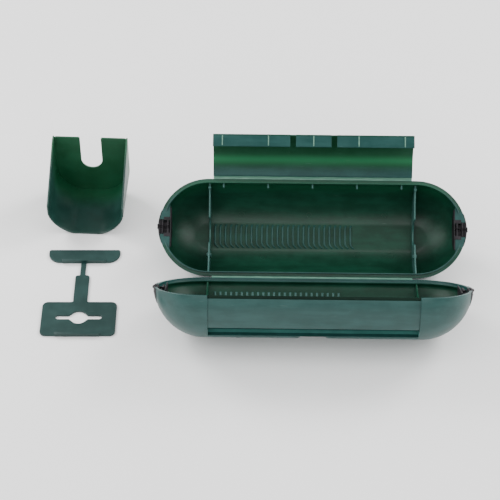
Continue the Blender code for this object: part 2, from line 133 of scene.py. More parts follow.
# A closed outline carried through a stack of places (steps by points by 3), capped at both ends
def sweep(loops):
    steps, count = loops.shape[:2]
    faces = gridFaces(steps, count, True)
    faces.append(list(range(count)))
    faces.append(list(range((steps - 1) * count, steps * count)))
    return loops.reshape(-1, 3), faces


# Moves every corner of a closed outline inwards along its mitre
def inset(outline, distance):
    points = np.asarray(outline, float)
    back, ahead = points - np.roll(points, 1, 0), np.roll(points, -1, 0) - points
    area = np.sum(points[:, 0] * np.roll(points[:, 1], -1) - np.roll(points[:, 0], -1) * points[:, 1])
    turn = 1 if area > 0 else -1
    normals = []
    for edge in (back, ahead):
        length = np.maximum(np.hypot(edge[:, 0], edge[:, 1]), 1e-9)
        normals.append(np.stack([-edge[:, 1], edge[:, 0]], 1) * turn / length[:, None])
    total = normals[0] + normals[1]
    scale = np.maximum(np.sum(total * total, 1), 0.8)
    return points + total * (2 * distance / scale)[:, None]


# A flat plate with rounded edges: outlines stacked in depth, flat faces filled between them
def plate(outline, low, high, edge, mapping, holes=()):
    turns = np.linspace(0, pi / 2, 4)
    depths = [low] + [low + edge * (1 - cos(a)) for a in turns]
    depths += [high - edge * (1 - cos(a)) for a in turns[::-1]] + [high]
    insets = [edge * 1.5] + [edge * (1 - sin(a)) for a in turns]
    insets += insets[::-1]
    points, faces, base = [], [], 0
    rims = {0: [], len(depths) - 1: []}
    for index, loop in enumerate([outline, *holes]):
        sign = 1 if index == 0 else -1
        rings = [inset(loop, sign * distance) for distance in insets]
        count = len(rings[0])
        faces += [[i + base for i in quad] for quad in gridFaces(len(rings), count, True)]
        for level in rims:
            rims[level].append((rings[level], base + level * count))
        for ring, depth in zip(rings, depths):
            points.append(mapping(ring[:, 0], ring[:, 1], np.full(count, depth)))
        base += count * len(rings)
    for level, loops in rims.items():
        flat, edges, index = [], [], []
        for ring, start in loops:
            offset = len(flat)
            flat += [Vector(p) for p in ring.tolist()]
            edges += [(offset + i, offset + (i + 1) % len(ring)) for i in range(len(ring))]
            index += list(range(start, start + len(ring)))
        result = delaunay_2d_cdt(flat, edges, [], 0, 1e-7)
        # a corner that the fill adds where an inset crosses itself falls back on the last one
        source = [min(origins) if origins else -1 for origins in result[3]]
        triangles = [[source[i] for i in face] for face in result[2]]
        keep = [face for face in triangles if insideLoops(np.mean([flat[i] for i in face], 0), loops)]
        faces += [[index[i] for i in face] for face in keep]
    return np.concatenate(points), faces


# True when a point is inside the first loop and outside the rest, by counting crossings
def insideLoops(point, loops):
    crossings = 0
    for ring, _ in loops:
        ahead = np.roll(ring, -1, 0)
        spans = (ring[:, 1] > point[1]) != (ahead[:, 1] > point[1])
        rise = np.where(spans, ahead[:, 1] - ring[:, 1], 1.0)
        at = ring[:, 0] + (point[1] - ring[:, 1]) * (ahead[:, 0] - ring[:, 0]) / rise
        crossings += int(np.sum(spans & (at > point[0])))
    return crossings % 2 == 1


# Points of an arc, its angles in degrees: centre + radius * (cosine, sine)
def arc(centre, radius, start, end, steps):
    angles = np.radians(np.linspace(start, end, steps + 1))
    return np.stack([centre[0] + radius * np.cos(angles), centre[1] + radius * np.sin(angles)], 1)


# Eases from 0 to 1: 3v^2 - 2v^3, held outside
def smooth(value):
    value = np.clip(value, 0, 1)
    return value * value * (3 - 2 * value)


# Stores a share at every vertex, from its place in millimetres
def paint(thing, name, rule):
    places = np.empty(len(thing.data.vertices) * 3, np.float32)
    thing.data.vertices.foreach_get("co", places)
    values = rule(places.reshape(-1, 3) / mm).astype(np.float32)
    thing.data.attributes.new(name, "FLOAT", "POINT").data.foreach_set("value", values)


# Gives a piece its finish, its body and the CAD nodes that it stands for
def finishPiece(thing, material, body, slotName, *nodes):
    thing.data.materials.clear()
    thing.data.materials.append(material)
    if body:
        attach(thing, body)
    if nodes:
        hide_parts(*nodes)


# One shader socket; sums and products on it add Math nodes
class Wire:
    def __init__(self, shop, socket):
        self.shop, self.socket = shop, socket

    def maths(self, operation, first, second):
        return self.shop.add("ShaderNodeMath", {"operation": operation}, {0: first, 1: second})

    def __add__(self, other):
        return self.maths("ADD", self, other)

    def __mul__(self, other):
        return self.maths("MULTIPLY", self, other)

    def __sub__(self, other):
        return self.maths("SUBTRACT", self, other)

    def __rsub__(self, other):
        return self.maths("SUBTRACT", other, self)

    __radd__ = __add__
    __rmul__ = __mul__


# One material and a single way to add nodes to it
class Shop:
    def __init__(self, name):
        self.material = bpy.data.materials.new(name)
        self.material.use_nodes = True
        self.tree = self.material.node_tree
        self.shader = self.tree.nodes["Principled BSDF"]

    def add(self, kind, settings, sockets, output=0):
        node = self.tree.nodes.new(kind)
        for key, value in settings.items():
            setattr(node, key, value)
        for key, value in sockets.items():
            self.feed(node.inputs[key], value)
        return Wire(self, node.outputs[output])

    def feed(self, socket, value):
        if isinstance(value, Wire):
            self.tree.links.new(value.socket, socket)
        else:
            socket.default_value = value

    def set(self, sockets):
        for key, value in sockets.items():
            self.feed(self.shader.inputs[key], value)


def noise(shop, where, scale, detail=3.0, roughness=0.55):
    return shop.add("ShaderNodeTexNoise", {}, {"Vector": where, "Scale": scale, "Detail": detail,
                                               "Roughness": roughness})


def mixColour(shop, factor, first, second):
    return shop.add("ShaderNodeMix", {"data_type": "RGBA"}, {0: factor, 6: first, 7: second}, 2)


def ramp(shop, value, low, high):
    return shop.add("ShaderNodeMapRange", {"interpolation_type": "SMOOTHSTEP"},
                    {0: value, 1: low, 2: high, 3: 0.0, 4: 1.0})


plastic = {
    # outer: the lit copy of the green, bluer where the studio light falls on the outside
    "outer": ((0.010, 0.050, 0.045, 1.0), (0.017, 0.068, 0.062, 1.0)),
    # inner: a darker copy of the same green, painted shade for the insides
    "inner": ((0.0030, 0.034, 0.018, 1.0), (0.005, 0.052, 0.029, 1.0)),
    # edge: a lighter copy of the green, painted highlight on edges that catch the top light
    "edge": ((0.030, 0.100, 0.088, 1.0), (0.045, 0.130, 0.115, 1.0)),
    # groove: near-black tones, painted shadow in the recessed strip under the front rim
    "shadowStrip": ((0.001, 0.012, 0.007, 1.0), (0.002, 0.016, 0.009, 1.0)),
    # channel: pale tones, painted fill light inside the catch channel, which lies in deep shade
    "channel": ((0.060, 0.200, 0.180, 1.0), (0.080, 0.250, 0.225, 1.0)),
    "glow": ((0.004, 0.066, 0.024, 1.0), (0.007, 0.090, 0.036, 1.0)),
    "shade": ((0.006, 0.046, 0.020, 1.0), (0.009, 0.058, 0.028, 1.0)),
    "bright": ((0.012, 0.150, 0.056, 1.0), (0.018, 0.190, 0.075, 1.0)),
    # rib: lighter than the shaded floor, painted highlight on the rear rack's rib tops
    "rib": ((0.010, 0.055, 0.046, 1.0), (0.016, 0.075, 0.064, 1.0)),
    "loose": ((0.007, 0.029, 0.026, 1.0), (0.012, 0.043, 0.039, 1.0)),
    "looseGlow": ((0.004, 0.066, 0.022, 1.0), (0.008, 0.092, 0.036, 1.0)),
    "whitenedAndGlow": ((0.06, 0.18, 0.13, 1), (0.14, 0.30, 0.22, 1)),
    "rubber": ((0.006, 0.005, 0.007, 1), (0.020, 0.017, 0.021, 1)),
    "scuff": (0.16, 0.24, 0.21, 1.0),
    "roughLow": 0.30,
    "roughSpan": 0.16,
}


# Satin polypropylene: cloudy flow marks, a fine spark-eroded grain, faint rub marks. The attribute inner
# blends to the tones within, which are painted shade inside the shells and under the flap's lip and painted
# glow on the insert, and thin to the painted tone that light gives a thin wall
def mouldedPlastic(name, tones, within, flow=(1.0, 6.0, 6.0), gloss=0.36, lit="glow"):
    shop = Shop(name)
    place3d = shop.add("ShaderNodeTexCoord", {}, {}, 3)
    stretched = shop.add("ShaderNodeMapping", {}, {"Vector": place3d, "Scale": flow})
    clouds = noise(shop, stretched, 14.0, 4.0, 0.6)
    patches = noise(shop, place3d, 60.0, 3.0)
    mix = ramp(shop, clouds * 0.65 + patches * 0.35, 0.38, 0.64)  # which of a pair of tones
    share = shop.add("ShaderNodeAttribute", {"attribute_name": "inner"}, {}, 2)
    colour = mixColour(shop, share, mixColour(shop, mix, *tones), mixColour(shop, mix, *within))
    thin = shop.add("ShaderNodeAttribute", {"attribute_name": "thin"}, {}, 2)
    colour = mixColour(shop, thin, colour, plastic[lit][1])
    rubPlace = shop.add("ShaderNodeMapping", {}, {"Vector": place3d, "Scale": (2.0, 26.0, 26.0),
                                                  "Rotation": (0.3, 0.2, 0.5)})
    rubs = ramp(shop, noise(shop, rubPlace, 30.0, 2.0), 0.70, 0.80)  # thin slanting scuffs
    colour = mixColour(shop, rubs * 0.18, colour, plastic["scuff"])
    grain = noise(shop, place3d, 2600.0, 2.0)
    dimples = noise(shop, place3d, 420.0, 2.0)
    waves = noise(shop, place3d, 38.0, 2.0)
    height = grain * 0.25 + dimples * 0.25 + waves * 0.9
    bump = shop.add("ShaderNodeBump", {}, {"Strength": 0.12, "Distance": 0.0009, "Height": height})
    shop.set({"Base Color": colour, "Normal": bump, "IOR": 1.49, "Specular IOR Level": gloss,
              "Roughness": patches * plastic["roughSpan"] + rubs * 0.12 + plastic["roughLow"]})
    return shop.material


# The living hinge, whitened where it bends and pale as painted glow of light through the thin strip; on the
# lip ribs it is a painted highlight
def whitenedGlowWeb():
    shop = Shop("whitenedGlowWeb")
    place3d = shop.add("ShaderNodeTexCoord", {}, {}, 3)
    stretched = shop.add("ShaderNodeMapping", {}, {"Vector": place3d, "Scale": (1, 30, 30)})
    streaks = noise(shop, stretched, 60.0)
    colour = mixColour(shop, ramp(shop, streaks, 0.35, 0.7), *plastic["whitenedAndGlow"])
    shop.set({"Base Color": colour, "Roughness": streaks * 0.2 + 0.35})
    return shop.material


# Dull black rubber with a dusty bloom
def sealRubber():
    shop = Shop("sealRubber")
    place3d = shop.add("ShaderNodeTexCoord", {}, {}, 3)
    bloom = noise(shop, place3d, 120.0, 4.0)
    fine = noise(shop, place3d, 1500.0, 2.0)
    colour = mixColour(shop, ramp(shop, bloom, 0.4, 0.7), *plastic["rubber"])
    bump = shop.add("ShaderNodeBump", {}, {"Strength": 0.25, "Distance": 0.0005, "Height": fine + bloom})
    shop.set({"Base Color": colour, "Roughness": bloom * 0.2 + 0.5, "Normal": bump,
              "Specular IOR Level": 0.3})
    return shop.material


finish = {
    "shell": mouldedPlastic("shellPlastic", plastic["outer"], plastic["inner"]),
    "flap": mouldedPlastic("flapPlastic", plastic["outer"], plastic["shade"], gloss=0.18, lit="bright"),
    "inner": mouldedPlastic("shadedInnerPlastic", plastic["inner"], plastic["inner"]),
    "rib": mouldedPlastic("litRibPlastic", plastic["rib"], plastic["rib"]),
    "edge": mouldedPlastic("litEdgePlastic", plastic["edge"], plastic["edge"]),
    "shadowStrip": mouldedPlastic("shadowStripPlastic", plastic["shadowStrip"], plastic["shadowStrip"], gloss=0.12),
    "channel": mouldedPlastic("fillLitChannelPlastic", plastic["channel"], plastic["channel"]),
    "loose": mouldedPlastic("loosePlastic", plastic["loose"], plastic["looseGlow"], (1.0, 1.0, 1.0)),
    "web": whitenedGlowWeb(),
    "rubber": sealRubber(),
}
print("finishes made")

shell = {
    "radius": 60.88, "half": 127.5, "flatHalf": 17.0, "wall": 2.4, "rimGap": 0.3, "rimInner": 55.0,
    "tongueInner": 55.4, "tongueOuter": 56.8, "tongueHeight": 2.2,
    "rebateOuter": 57.2, "rebateFloor": -3.2,
    "recessHalf": 123.5, "recessFloor": 58.8, "padInner": 56.8, "stripDepth": 57.6,
    "channelInner": 50.1, "channelOuter": 63.2, "channelFloor": -135.3, "channelWall": 1.8,
    "ridgeOut": 0.65, "scoopHalf": 18.5, "scoopEase": 7.0, "scoopDepth": 3.4,
    "slot": 9.0, "slotAt": 58.0, "tipHalf": 22.0, "endSteps": 44,
    "glowFrom": 30, "glowSpan": 25, "glowLow": -34, "glowRise": 18, "glowMost": 0.55,
}
flatDepth = sqrt(shell["radius"]**2 - shell["flatHalf"]**2)


# Points of the section on a circle: radius * cosine along t, -radius * sine along n, degrees below the rim
def onCircle(radius, angles):
    angles = np.radians(np.asarray(angles, float))
    radius = np.broadcast_to(radius, angles.shape)
    return np.stack([radius * np.cos(angles), -radius * np.sin(angles)], 1)


# Section points on a circle about the flap's axis, seen from the front shell's middle
def aboutFlap(radius, angles):
    axis = (place["flapAxisOut"], place["flapAxisDrop"])
    return arc(axis, radius, angles[0], angles[-1], len(angles) - 1)


# Where the section stands: a base point on the middle line and an outward direction
def shellColumns():
    half = shell["half"]
    edges = shell["recessHalf"] + np.array([0, -0.2, 2.0, 1.8])
    line = np.concatenate([np.linspace(-half, half, 52), edges, -edges, np.linspace(-21, 21, 22)])
    line = np.unique(np.round(line, 3))
    slot = degrees(np.arcsin(shell["slot"] / shell["slotAt"]))
    fine = np.concatenate([np.linspace(0, 9.9, 12), [slot - 0.1, slot + 0.1, slot + 0.6]])
    turn = np.linspace(90, -90, shell["endSteps"] + 1)[1:-1]
    turn = np.unique(np.round(np.concatenate([turn[np.abs(turn) > 10.5], fine, -fine]), 3))[::-1]
    turn = np.radians(turn)
    x = np.concatenate([line, np.full(turn.size, half), line[::-1], np.full(turn.size, -half)])
    dx = np.concatenate([0 * line, np.cos(turn), 0 * line, -np.cos(turn)])
    dt = np.concatenate([0 * line + 1, np.sin(turn), 0 * line - 1, -np.sin(turn)])
    return x, dx, dt


# Angle about the flap's axis at which an arc crosses a circle about the shell's middle
def crossing(radius, target):
    angles = np.linspace(-150, -100, 2001)
    points = aboutFlap(radius, angles)
    return angles[np.argmin(np.abs(np.hypot(points[:, 0], points[:, 1]) - target))]


# Section of the outside, from the middle of the flat up to the rim's top edge
def outerSection(featured):
    radius = shell["radius"]
    flat = np.stack([[0, 5, 10, 13.5, 16.2], np.full(5, -flatDepth)], 1)
    low = onCircle(radius, [73.0, 71.8, 70.6, 69.4])
    ridge = onCircle(radius, [68.6, 68.2, 67.0, 65.0, 63.2, 62.2, 61.9])
    if featured:
        ridge = onCircle(radius + shell["ridgeOut"] * np.array([0, 0.7, 1, 1, 1, 0.8, 0.3]),
                         [68.6, 68.2, 67.0, 65.0, 63.4, 62.9, 62.7])
        outer, inner = shell["channelOuter"], shell["channelInner"]
        down = aboutFlap(outer, np.linspace(crossing(outer, radius), shell["channelFloor"], 7))
        up = aboutFlap(inner, np.linspace(shell["channelFloor"], crossing(inner, shell["recessFloor"]), 7))
        channel = np.concatenate([down, up])
        mouth = degrees(atan2(-up[-1, 1], up[-1, 0]))
        edge = onCircle(shell["recessFloor"] - np.array([1.6, 0.7, 0.2]), mouth - np.array([0.3, 1.1, 2.3]))
        panel = np.concatenate([edge, onCircle(shell["recessFloor"], np.linspace(mouth - 3.6, 4.0, 12))])
        strip = onCircle(shell["stripDepth"], [3.85, 2.6, 1.0])
        top = shell["stripDepth"]
    else:
        channel = onCircle(radius, np.linspace(61.6, 46.4, 14))
        panel = onCircle(radius, np.linspace(45.8, 4.3, 15))
        strip = onCircle(radius, [4.0, 2.6, 1.2])
        top = radius
    gap = shell["rimGap"]
    rim = np.array([[top, -gap - 0.5], [top - 0.08, -gap - 0.2], [top - 0.25, -gap - 0.04],
                    [top - 0.5, -gap]])
    return np.concatenate([flat, low, ridge, channel, panel, strip, rim])


# Section of the inside, from under the rim down to the middle of the floor
def innerSection(featured):
    reach = shell["radius"] - shell["wall"]
    floor = -(flatDepth - shell["wall"])
    edge = degrees(atan2(-floor, sqrt(reach**2 - floor**2)))
    tail = onCircle(reach, np.linspace(edge - 6, edge - 0.8, 4))
    flat = np.stack([[14.6, 11, 6, 0], np.full(4, floor)], 1)
    if featured:
        wall = onCircle(shell["padInner"], np.linspace(7.5, 43, 14))
        inner = shell["channelInner"] - shell["channelWall"]
        outer = shell["channelOuter"] + shell["channelWall"]
        end = shell["channelFloor"] - 3
        up = aboutFlap(inner, np.linspace(crossing(inner, shell["padInner"] - 0.3), end, 7))
        down = aboutFlap(outer, np.linspace(end, crossing(outer, reach - 0.2), 7))
        pocket = np.concatenate([up, down])
    else:
        wall = onCircle(reach, np.linspace(8.2, 43, 14))
        pocket = onCircle(reach, np.linspace(44.5, 66.5, 14))
    return np.concatenate([wall, pocket, tail, flat])


# The rim between outside and inside: a raised tongue, or the rebate it drops into
def rimSection(kind):
    if kind == "tongue":
        inner, outer, height = shell["tongueInner"], shell["tongueOuter"], shell["tongueHeight"]
        ledge = -shell["rimGap"]
        return np.array([[outer + 0.35, ledge], [outer + 0.05, ledge + 0.15], [outer, ledge + 0.5],
                         [outer, height - 0.35], [outer - 0.1, height - 0.1], [outer - 0.35, height],
                         [inner + 0.35, height], [inner + 0.1, height - 0.1], [inner, height - 0.35],
                         [inner, -3.0], [inner + 0.1, -4.0], [inner + 0.9, -5.0],
                         [reachAt(-7.2) - 0.5, -6.9]])
    outer, floor, inner = shell["rebateOuter"], shell["rebateFloor"], shell["rimInner"]
    top = -shell["rimGap"]
    return np.array([[outer + 0.2, top], [outer + 0.03, top - 0.1], [outer, top - 0.35], [outer, floor + 0.3],
                     [outer - 0.1, floor + 0.05], [outer - 0.4, floor], [inner + 0.4, floor],
                     [inner + 0.1, floor - 0.1], [inner, floor - 0.4], [inner, floor - 1.0],
                     [inner + 0.2, -4.8], [inner + 0.9, -5.4], [reachAt(-7.2) - 0.7, -6.9]])


# Inside radius of the shell at a level below the rim
def reachAt(level):
    return sqrt((shell["radius"] - shell["wall"])**2 - level**2)


# How deep the finger scoop is along the box: 1 in the middle, easing to 0 at its ends
def scoopArch(x):
    return smooth((shell["scoopHalf"] - np.abs(x)) / shell["scoopEase"])


# Section carried round the capsule: base point + t * outward direction, at height n. The featured shell
# has a second section, with the recess and the catch channel, along its far side
def makeShell(name, mapping, kind, featured):
    x, dx, dt = shellColumns()
    far = (dt > 0.999) & featured
    outer = [outerSection(False), outerSection(True)]
    inner = [innerSection(False), innerSection(True)]
    plain = np.concatenate([outer[0], rimSection(kind), inner[0]])
    special = np.concatenate([outer[1], rimSection(kind), inner[1]])
    count = len(outer[0])
    limit = np.where(np.arange(len(plain)) < count, shell["recessHalf"] - 0.1, shell["recessHalf"] + 1.9)
    chosen = far[None, :] & (np.abs(x)[None, :] < limit[:, None])
    t = np.where(chosen, special[:, 0][:, None], plain[:, 0][:, None])
    n = np.where(chosen, special[:, 1][:, None], plain[:, 1][:, None])
    if featured:
        rows = np.arange(len(plain))[:, None]  # the scoop presses in the outside and the floor below it
        weight = np.where((rows >= 2) & (rows < 16), smooth((rows - 1) / 4.0), 0.0)
        weight = weight + np.where((rows > len(plain) - 9) & (rows < len(plain) - 2), 0.85, 0.0)
        cut = weight * scoopArch(x)[None, :] * shell["scoopDepth"] * (dt > 0.999)[None, :]
        size = np.maximum(np.hypot(t, n), 1.0)
        t, n = t * (1 - cut / size), n * (1 - cut / size)
    span = np.abs(t * dt[None, :])
    tip = (np.abs(dx) > 0.8)[None, :]
    n = np.where(tip & (span < shell["tipHalf"]), np.minimum(n, -shell["rimGap"]), n)
    dip = -np.sqrt(np.maximum(shell["slot"]**2 - span**2, 0))
    n = np.where(tip & (span < shell["slot"]), np.minimum(n, dip), n)
    points = mapping(x[None, :] + t * dx[None, :], t * dt[None, :], n)
    bands = np.arange(len(plain))
    shadedStripRows = chosen * ((bands >= count - 7) & (bands < count - 3))[:, None]
    rows, columns = t.shape
    # Painted shade: rows inside the mouth blend to the darker inner tones
    share = smooth((np.arange(rows) - count - 6) / 4.0)
    # Painted shadow: the recessed strip under the front rim blends to the inner tones
    strip = 0.8 * shadedStripRows if featured else 0.0
    # Painted shade: the outer ledge of the rear rim blends to the inner tones, except at the tips
    ledge = (kind == "tongue") & (bands >= count - 2) & (bands < count + 3)
    inner = np.maximum(share[:, None] * np.ones(columns)[None, :], strip)
    inner = np.maximum(inner, 0.85 * ledge[:, None] * ~(tip & (span < shell["tipHalf"] + 1)))
    return toObject(name, [(points.reshape(-1, 3), gridFaces(rows, columns, True))], inner=inner)


rearShell = makeShell("rearShell", rearPlace, "tongue", False)
frontShell = makeShell("frontShell", frontPlace, "rebate", True)


# Where light comes through under the far rim of the rear shell
def thinWall(points):
    y, z = points[:, 1] - place["hinge"][1], points[:, 2] - place["hinge"][2]
    c, s = cos(radians(place["lean"])), sin(radians(place["lean"]))
    t, n = y * c + z * s - place["hingeOut"], z * c - y * s
    past = np.maximum(np.abs(points[:, 0] - place["hinge"][0]) - shell["half"], 0)
    within = np.sqrt(past**2 + t**2 + n**2) < shell["radius"] - 1.2
    outward = smooth((t - shell["glowFrom"]) / shell["glowSpan"])
    return within * outward * smooth((n - shell["glowLow"]) / shell["glowRise"]) * shell["glowMost"]


paint(rearShell, "thin", thinWall)
finishPiece(rearShell, finish["shell"], "rear_half", "moulded_plastic", "rear_shell")
finishPiece(frontShell, finish["shell"], "front_half", "moulded_plastic", "front_shell")
frontShell.data.materials.append(finish["shadowStrip"])
frontShell.data.materials.append(finish["channel"])
for face in frontShell.data.polygons:
    x, along, up = face.center / mm - Vector(place["hinge"].tolist())
    c, s = cos(radians(place["lean"])), sin(radians(place["lean"]))
    t, n = up * s - along * c - place["hingeOut"], up * c + along * s
    depth, fall = hypot(t, n), degrees(atan2(-n, t))
    if abs(x) < shell["recessHalf"] - 0.05 and t > 0:
        reach = hypot(t - place["flapAxisOut"], n - place["flapAxisDrop"])
        if 57.3 < depth < 58.2 and 0.2 < fall < 3.95:
            face.material_index = 1  # painted shadow: dark line under the rim, where the recessed strip lies in shade
        elif fall > 44 and 1.5 + depth < shell["recessFloor"] and reach > 49:
            face.material_index = 2  # inside of the catch channel, painted lighter as fill light in its shadow
print("shells made")

inside = {
    "shelfFrom": 175.0, "shelfThick": 2.4, "shelfReach": 56.2, "slot": 8.9,
    "bulkheadAt": 127.0, "bulkheadThick": 2.0, "wallDrop": 3.2, "midDrop": 17.0,
    "notchRadius": 15.0, "notchBottom": 46.5,
    "gussetAt": (-109.7, -54.8, 0.0, 54.8, 109.7), "gussetThick": 2.0,
    "posts": ((-30.0, 2.8, -34.0, -19.5), (51.0, 1.9, -16.0, -4.0)),  # t, radius, low and high n
    "marks": ((-3, 27, 3.6), (91, 27, 3.6), (58, -23, 4.2), (99, -23, 4.2),
              (-88, 27, 3.6), (-60, -27, 3.6)),  # x, t, radius
}


# A plate standing across the box: outline in t and n, depth along x
def across(mapping):
    return lambda a, b, depth: mapping(depth, a, b)


# Half of the flat web in a tip: a circle segment beside the slot for the seal
def tipShelf(mapping, side, way, top):
    run = inside["shelfFrom"] - shell["half"]
    reach = inside["shelfReach"]
    low, high = degrees(np.arcsin(inside["slot"] / reach)), degrees(np.arccos(run / reach))
    edge = arc((shell["half"], 0), reach, low, high, 16)
    outline = np.concatenate([edge, [[inside["shelfFrom"], inside["slot"]]]]) * [side, way]
    return plate(outline, top - inside["shelfThick"], top, 0.35, mapping)


# A thin plate with a vee top edge, rounded shoulders and a central U notch, and two round posts on it
def bulkhead(mapping, at, reach):
    floor = -(flatDepth - shell["wall"]) - 0.4
    reach = reach + 0.3
    wall = degrees(np.arcsin(inside["wallDrop"] / reach))
    low = degrees(np.arcsin(-floor / reach))
    right = arc((0, 0), reach, -low, -wall, 26)
    centre = -inside["notchBottom"] + inside["notchRadius"]
    radius = inside["notchRadius"]
    slope = np.linspace(0, 1, 9)[1:-1]
    start, end = right[-1], np.array([radius + 4.5, -inside["midDrop"]])
    vee = start + (end - start) * slope[:, None]
    vee[:, 1] -= 2.2 * np.sin(pi * slope)
    shoulder = arc((radius + 3.0, -inside["midDrop"] - 3.0), 3.0, 90, 180, 5)
    notch = arc((0, centre), radius, 0, -180, 26)
    half = np.concatenate([right, vee, shoulder])
    outline = np.concatenate([half, notch, (half * [-1, 1])[::-1]])
    thick = inside["bulkheadThick"] / 2
    parts = [plate(outline, at - thick, at + thick, 0.5, across(mapping))]
    for t, size, low, high in inside["posts"]:
        ring = arc((at, t), size, 0, 345, 23)
        parts.append(plate(ring, low, high, 0.7, mapping))
    return parts


# A small triangular web under the far rim
def gusset(mapping, at):
    outline = np.array([[50.6, -2.4], [58.9, -2.2], [58.4, -15.0], [56.0, -13.5], [50.9, -7.5], [50.2, -5.0]])
    thick = inside["gussetThick"] / 2
    return plate(outline, at - thick, at + thick, 0.3, across(mapping))


# The rear bulkheads take the lit edge tone and the front ones the shaded inner tone: painted highlight and
# painted shade
halves = (("rear", rearPlace, "rear_half", -0.35, "edge"), ("front", frontPlace, "front_half", -3.5, "inner"))
for label, mapping, body, top, tone in halves:
    shelves = toObject(label + "TipShelves", [tipShelf(mapping, side, way, top)
                                              for side in (-1, 1) for way in (-1, 1)])
    finishPiece(shelves, finish["shell"], body, "moulded_plastic")
    for side, word in ((-1, "left"), (1, "right")):
        parts = bulkhead(mapping, side * inside["bulkheadAt"], shell["radius"] - shell["wall"])
        piece = toObject(f"{label}{word.title()}Bulkhead", parts)
        finishPiece(piece, finish[tone], body, "moulded_plastic", f"{label}_{word}_bulkhead")


# A low ring left by an ejector pin, lying against the curved wall
def ejectorMark(mapping, x, t, radius):
    reach = shell["radius"] - shell["wall"]
    angle = np.arcsin(t / reach)
    outline = arc((0, 0), radius, 0, 345, 23)
    hole = arc((0, 0), radius - 0.8, 0, 345, 23)

    def against(a, b, depth):
        turn = angle + b / reach
        return mapping(x + a, (reach - depth) * np.sin(turn), -(reach - depth) * np.cos(turn))

    return plate(outline, -0.4, 0.35, 0.15, against, [hole])


marks = [ejectorMark(rearPlace, *mark) for mark in inside["marks"]]
# The ejector marks take the shaded inner finish: painted shade
finishPiece(toObject("ejectorMarks", marks), finish["inner"], "rear_half", "moulded_plastic")
gussets = toObject("rearGussets", [gusset(rearPlace, at) for at in inside["gussetAt"]])
# The gussets take the lit edge tone: painted highlight
finishPiece(gussets, finish["edge"], "rear_half", "moulded_plastic")
print("inner plates made")

rack = {"pitch": 6.54, "rearCount": 27, "rearFrom": -121.0, "rearHeight": 2.4,
        "frontCount": 24, "frontFrom": -118.0, "frontHeight": 1.6, "ribHalf": 1.35}


# A rounded rib carried over stations of (t, n, outward t, outward n)
def ridgeLoops(stations, heights, shifts, mapping, x0):
    turn = np.linspace(0, pi, 9)
    profile = np.stack([np.cos(turn) * rack["ribHalf"], np.sin(turn) ** 0.7], 1)
    profile = np.concatenate([profile, [[-rack["ribHalf"], -0.4], [rack["ribHalf"], -0.4]]])
    t, n, ut, un = [np.asarray(v, float)[:, None] for v in zip(*stations)]
    lift = profile[None, :, 1] * np.where(profile[None, :, 1] > 0, np.asarray(heights)[:, None], 1.0)
    x = x0 + profile[None, :, 0] + np.asarray(shifts)[:, None]
    return sweep(mapping(x, t + ut * lift, n + un * lift))


# Ribs across the flat floor, their ends bent sideways and sloping down
def rearRack():
    floor = -(flatDepth - shell["wall"])
    t = np.array([-15.0, -13.5, -11.0, -8.0, 0.0, 8.0, 11.0, 13.5, 15.0])
    high = rack["rearHeight"] * np.array([0.2, 0.75, 1, 1, 1, 1, 1, 0.75, 0.2])
    shift = np.array([4.2, 2.6, 0.6, 0.0, 0.0, 0.0, 0.0, 0.5, 1.0])
    stations = [(v, floor, 0.0, 1.0) for v in t]
    return [ridgeLoops(stations, high, shift, rearPlace, rack["rearFrom"] + i * rack["pitch"])
            for i in range(rack["rearCount"])]


# Ribs up the wall beside the main hinge
def frontRack():
    reach = shell["radius"] - shell["wall"] + 0.1
    angles = np.radians(180 + np.array([17.0, 18.0, 20.0, 23.0, 28.0, 34.0, 36.0]))
    high = rack["frontHeight"] * np.array([0.3, 1, 1.1, 1, 1, 1, 0.3])
    stations = [(reach * cos(a), reach * sin(a), -cos(a), -sin(a)) for a in angles]
    return [ridgeLoops(stations, high, 0 * high, frontPlace, rack["frontFrom"] + i * rack["pitch"])
            for i in range(rack["frontCount"])]


# The rear rack ribs take the lighter rib tone: painted highlight
finishPiece(toObject("rearRackRibs", rearRack()), finish["rib"],
            "rear_half", "moulded_plastic", "rear_rack")
# The front rack ribs take the lit edge tone: painted highlight on their tops
finishPiece(toObject("frontRackRibs", frontRack()), finish["edge"],
            "front_half", "moulded_plastic", "front_rack")
print("racks made")

flap = {"half": 122.5, "thick": 1.8, "start": 2.4, "end": 60.0, "lipLength": 15.5, "lipFold": 106.0,
        "lipThick": 1.8, "gapFrom": 21.6, "gapTo": 28.5, "ribAt": (-111.0, -55.0, 0.0, 55.0, 111.0),
        "edge": 0.45, "tipTrim": 0.85, "glowAt": 0.37, "glowWide": 0.09, "glowMost": 0.6}


# A point of the panel's section: radius about the shell's middle, seen from the flap's axis
def flapPoint(radius, angle):
    a = np.radians(angle)
    return np.stack([radius * np.cos(a) - place["flapAxisOut"],
                     radius * np.sin(a) + place["flapAxisDrop"]], -1)


# A section carried along x with rounded ends
def alongBox(outline, low, high, edge, mapping):
    return plate(outline, low, high, edge, across(mapping))


# The curved sheet: outer arc, rounded free edge, inner arc, rounded root
def flapPanel():
    outer, inner = shell["radius"], shell["radius"] - flap["thick"]
    last = flap["end"] - flap["tipTrim"]
    angles = np.linspace(flap["start"], last, 40)
    middle = (outer + inner) / 2
    tipCentre, rootCentre = flapPoint(middle, last), flapPoint(middle, flap["start"])
    tip = arc(tipCentre, flap["thick"] / 2, last, last + 180, 6)[1:-1]
    root = arc(rootCentre, flap["thick"] / 2, flap["start"] + 180, flap["start"] + 360, 6)[1:-1]
    outline = np.concatenate([flapPoint(outer, angles), tip, flapPoint(inner, angles[::-1]), root])
    return alongBox(outline, -flap["half"], flap["half"], flap["edge"], flapPlace)


